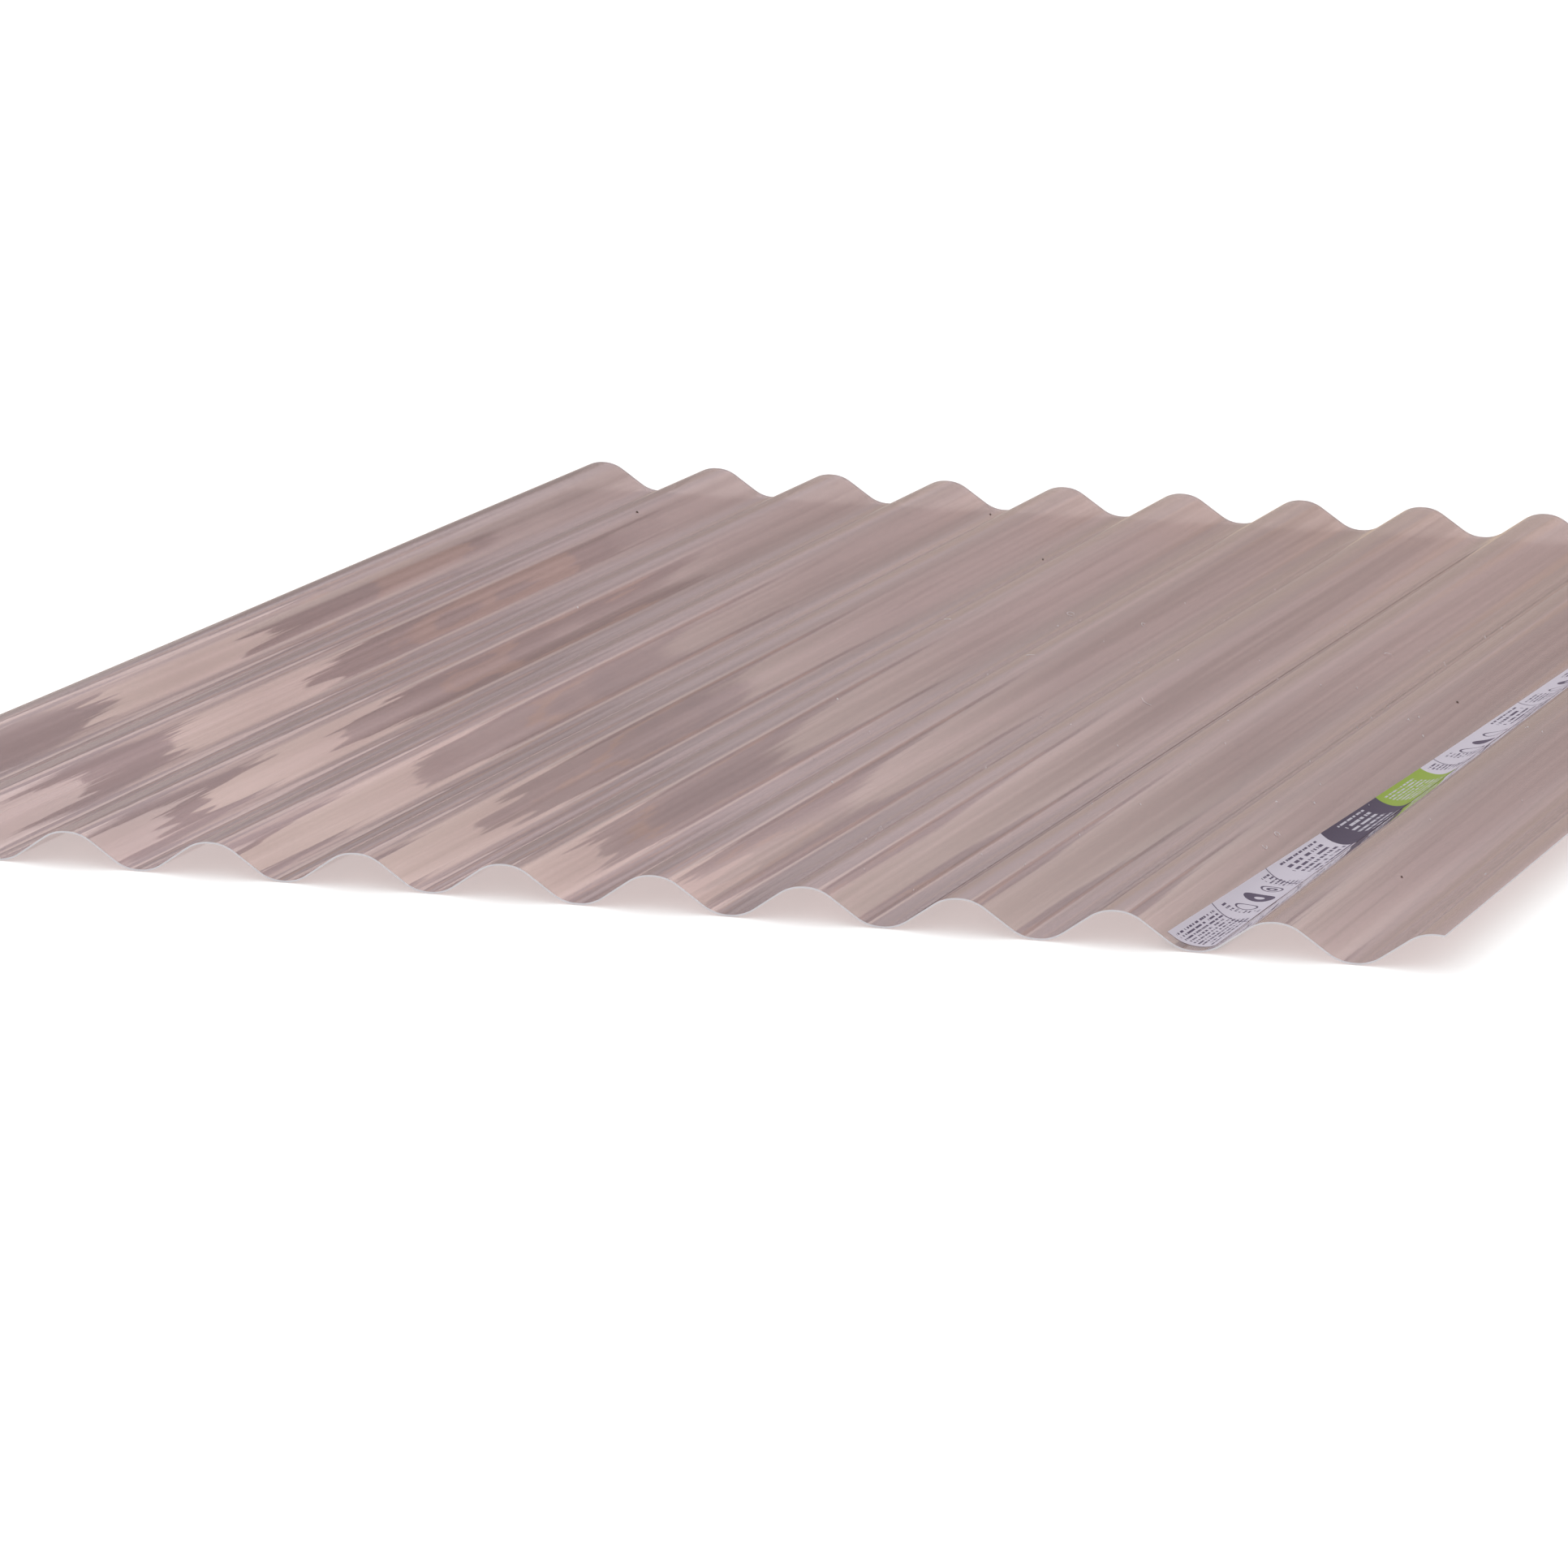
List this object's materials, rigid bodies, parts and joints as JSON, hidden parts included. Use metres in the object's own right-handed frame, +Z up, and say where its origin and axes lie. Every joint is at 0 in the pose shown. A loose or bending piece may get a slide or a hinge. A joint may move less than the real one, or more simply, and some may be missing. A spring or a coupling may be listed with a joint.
{
  "type": "corrugated roof sheet",
  "caption": "Tinted clear plastic roof sheet with round corrugations along its length, and a paper strip stuck in one trough.",
  "frame": {"origin": "under the middle of the sheet, at the level that its troughs rest on", "axes": "+Y along the corrugations, +X across them, +Z up; the sheet lies flat, upper face up"},
  "size_m": [0.86, 1.1, 0.017],
  "materials": {
    "tinted_plastic": "glossy see-through sheet, bronze to pinkish brown tint",
    "printed_paper": "satin coated label paper, printed in blocks of white, lime green and dark violet"
  },
  "bodies": {
    "root": {"sheet": "tinted_plastic", "paper_strip": "printed_paper"}
  },
  "joints": []
}
